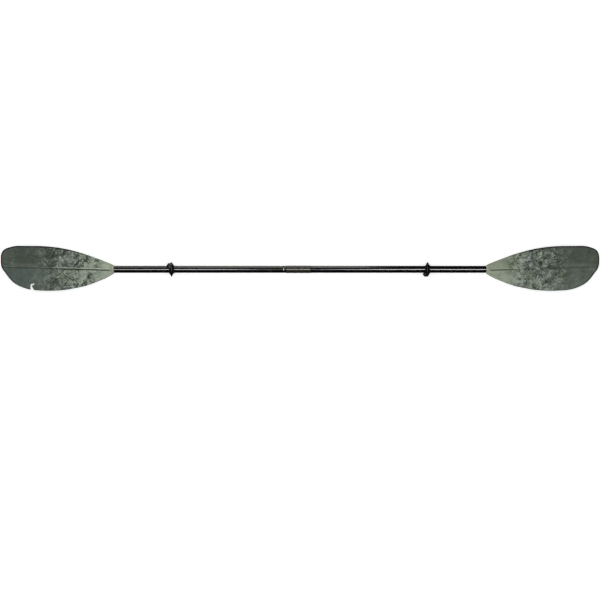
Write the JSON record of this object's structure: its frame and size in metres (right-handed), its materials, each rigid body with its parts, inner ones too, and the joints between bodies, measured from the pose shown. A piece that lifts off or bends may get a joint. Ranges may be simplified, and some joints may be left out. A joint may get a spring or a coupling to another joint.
{
  "type": "kayak paddle",
  "caption": "Two-piece double-bladed kayak paddle: spooned asymmetric blades with a centre ridge, a tubular shaft, drip rings and a push-button ferrule that sets the feather angle.",
  "frame": {"origin": "on the shaft's axis, halfway between the two blade tips", "axes": "+X along the shaft towards the right blade, +Y towards the blades' straight edges, +Z the way the power faces look"},
  "size_m": [2.4, 0.1804, 0.059],
  "materials": {
    "blade_plastic": "satin moulded plastic with a mottled sage-green pattern, pale at the neck and dark at the tip",
    "shaft_fibreglass": "glossy black glass-fibre tube",
    "collar_wrap": "satin black reinforcing band",
    "ferrule_fibreglass": "ground dark glass-fibre sleeve",
    "moulded_black": "matte moulded plastic",
    "foam": "closed-cell foam",
    "seal_rubber": "matte rubber",
    "button_steel": "polished stainless steel",
    "spring_steel": "spring steel strip",
    "ring_rubber": "matte black rubber"
  },
  "bodies": {
    "right_half": {"right_blade": "blade_plastic", "right_shaft_tube": "shaft_fibreglass", "right_joint_collar": "collar_wrap", "right_blade_bung": "foam", "ferrule_tube": "ferrule_fibreglass", "ferrule_nose": "moulded_black", "ferrule_bung": "foam", "button_spring": "spring_steel"},
    "seal": {"joint_seal": "seal_rubber"},
    "left_half": {"left_blade": "blade_plastic", "left_shaft_tube": "shaft_fibreglass", "left_joint_collar": "collar_wrap", "left_blade_bung": "foam", "left_socket_bung": "foam"},
    "button": {"snap_button": "button_steel"},
    "left_ring": {"left_drip_ring": "ring_rubber"},
    "right_ring": {"right_drip_ring": "ring_rubber"}
  },
  "joints": [
    {"name": "feather_turn", "type": "hinge", "parent": "right_half", "child": "seal", "pos_m": [-0.006, 0, 0], "axis": [1, 0, 0], "range_deg": [-60, 60], "deforming": ["snap_button"]},
    {"name": "pull_apart", "type": "slide", "parent": "seal", "child": "left_half", "axis": [-1, 0, 0], "range_m": [0, 0.125], "deforming": ["snap_button"]},
    {"name": "button_press", "type": "slide", "parent": "right_half", "child": "button", "axis": [0, 0, -1], "range_m": [0, 0.0034], "stiffness_N_per_m": 2500, "springref_m": -0.002, "deforming": ["button_spring"]},
    {"name": "left_ring_slide", "type": "slide", "parent": "left_half", "child": "left_ring", "axis": [1, 0, 0], "range_m": [-0.212, 0.428]},
    {"name": "right_ring_slide", "type": "slide", "parent": "right_half", "child": "right_ring", "axis": [1, 0, 0], "range_m": [-0.4525, 0.2125]}
  ]
}
